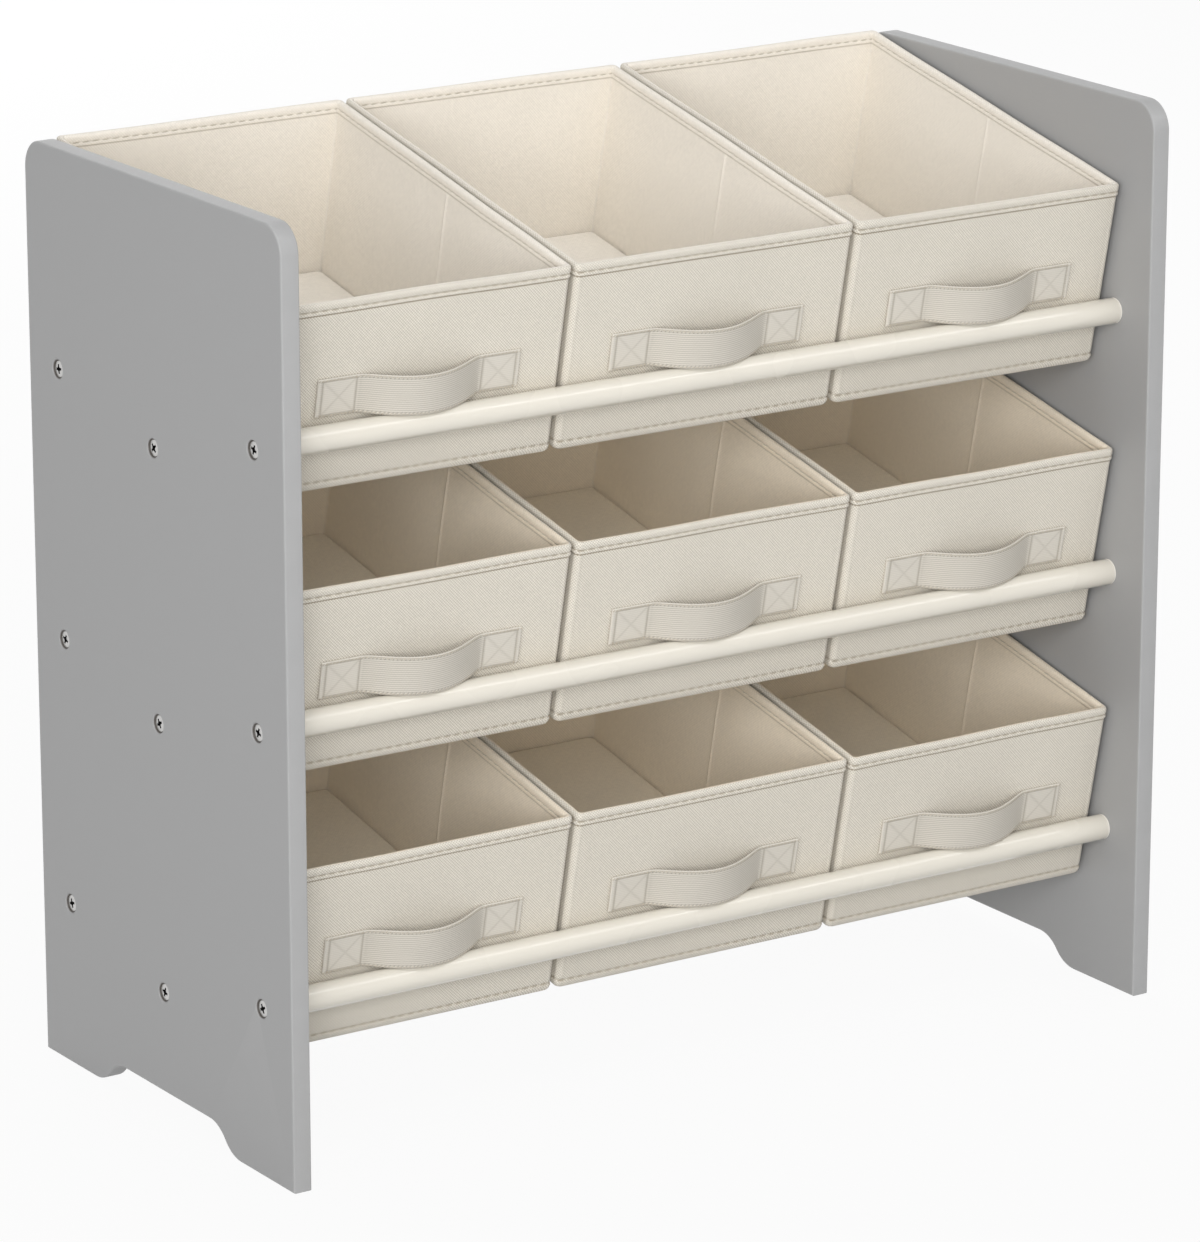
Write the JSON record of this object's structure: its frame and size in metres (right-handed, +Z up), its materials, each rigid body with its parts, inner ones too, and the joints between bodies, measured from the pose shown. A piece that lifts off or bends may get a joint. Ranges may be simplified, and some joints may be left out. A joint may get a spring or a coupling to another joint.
{
  "type": "toy shelf unit with bins",
  "caption": "Low storage unit: side panels joined by round rods that hold tiers of sloping, open fabric bins with webbing handles.",
  "frame": {"origin": "on the floor, under the middle of the overall width and depth, with the bins' lower back edges counted in the depth", "axes": "+X to the right along the rods, +Y to the back, +Z up"},
  "size_m": [0.625, 0.3082, 0.5709],
  "materials": {
    "panel_paint": "grey satin paint on board",
    "rod_coating": "cream gloss powder coat",
    "plug_plastic": "cream moulded",
    "screw_steel": "zinc plated",
    "bin_fabric": "cream twill over stiffening board",
    "board_cover": "cream cloth over board",
    "strap_webbing": "cream ribbed webbing"
  },
  "bodies": {
    "frame": {"panel_left": "panel_paint", "panel_right": "panel_paint", "rod_bottom_front": "rod_coating", "rod_bottom_middle": "rod_coating", "rod_bottom_back": "rod_coating", "rod_middle_front": "rod_coating", "rod_middle_middle": "rod_coating", "rod_middle_back": "rod_coating", "rod_top_front": "rod_coating", "rod_top_middle": "rod_coating", "rod_top_back": "rod_coating", "rod_plugs_left": "plug_plastic", "rod_plugs_right": "plug_plastic", "screws_left": "screw_steel", "screws_right": "screw_steel"},
    "bin_bottom_left": {"bin_bottom_left_shell": "bin_fabric", "bin_bottom_left_board": "board_cover", "bin_bottom_left_handle": "strap_webbing"},
    "bin_bottom_centre": {"bin_bottom_centre_shell": "bin_fabric", "bin_bottom_centre_board": "board_cover", "bin_bottom_centre_handle": "strap_webbing"},
    "bin_bottom_right": {"bin_bottom_right_shell": "bin_fabric", "bin_bottom_right_board": "board_cover", "bin_bottom_right_handle": "strap_webbing"},
    "bin_middle_left": {"bin_middle_left_shell": "bin_fabric", "bin_middle_left_board": "board_cover", "bin_middle_left_handle": "strap_webbing"},
    "bin_middle_centre": {"bin_middle_centre_shell": "bin_fabric", "bin_middle_centre_board": "board_cover", "bin_middle_centre_handle": "strap_webbing"},
    "bin_middle_right": {"bin_middle_right_shell": "bin_fabric", "bin_middle_right_board": "board_cover", "bin_middle_right_handle": "strap_webbing"},
    "bin_top_left": {"bin_top_left_shell": "bin_fabric", "bin_top_left_board": "board_cover", "bin_top_left_handle": "strap_webbing"},
    "bin_top_centre": {"bin_top_centre_shell": "bin_fabric", "bin_top_centre_board": "board_cover", "bin_top_centre_handle": "strap_webbing"},
    "bin_top_right": {"bin_top_right_shell": "bin_fabric", "bin_top_right_board": "board_cover", "bin_top_right_handle": "strap_webbing"}
  },
  "joints": [
    {"name": "bin_bottom_left_tip", "type": "hinge", "parent": "frame", "child": "bin_bottom_left", "pos_m": [-0.1995, 0.10659, 0.103], "axis": [-1, 0, 0], "range_deg": [0, 12]},
    {"name": "bin_bottom_centre_tip", "type": "hinge", "parent": "frame", "child": "bin_bottom_centre", "pos_m": [0, 0.10659, 0.103], "axis": [-1, 0, 0], "range_deg": [0, 12]},
    {"name": "bin_bottom_right_tip", "type": "hinge", "parent": "frame", "child": "bin_bottom_right", "pos_m": [0.1995, 0.10659, 0.103], "axis": [-1, 0, 0], "range_deg": [0, 12]},
    {"name": "bin_middle_left_tip", "type": "hinge", "parent": "frame", "child": "bin_middle_left", "pos_m": [-0.1995, 0.10659, 0.2694], "axis": [-1, 0, 0], "range_deg": [0, 12]},
    {"name": "bin_middle_centre_tip", "type": "hinge", "parent": "frame", "child": "bin_middle_centre", "pos_m": [0, 0.10659, 0.2694], "axis": [-1, 0, 0], "range_deg": [0, 12]},
    {"name": "bin_middle_right_tip", "type": "hinge", "parent": "frame", "child": "bin_middle_right", "pos_m": [0.1995, 0.10659, 0.2694], "axis": [-1, 0, 0], "range_deg": [0, 12]},
    {"name": "bin_top_left_lift", "type": "slide", "parent": "frame", "child": "bin_top_left", "axis": [0, -0.2075, 0.9782], "range_m": [0, 0.19]},
    {"name": "bin_top_centre_lift", "type": "slide", "parent": "frame", "child": "bin_top_centre", "axis": [0, -0.2075, 0.9782], "range_m": [0, 0.19]},
    {"name": "bin_top_right_lift", "type": "slide", "parent": "frame", "child": "bin_top_right", "axis": [0, -0.2075, 0.9782], "range_m": [0, 0.19]}
  ]
}
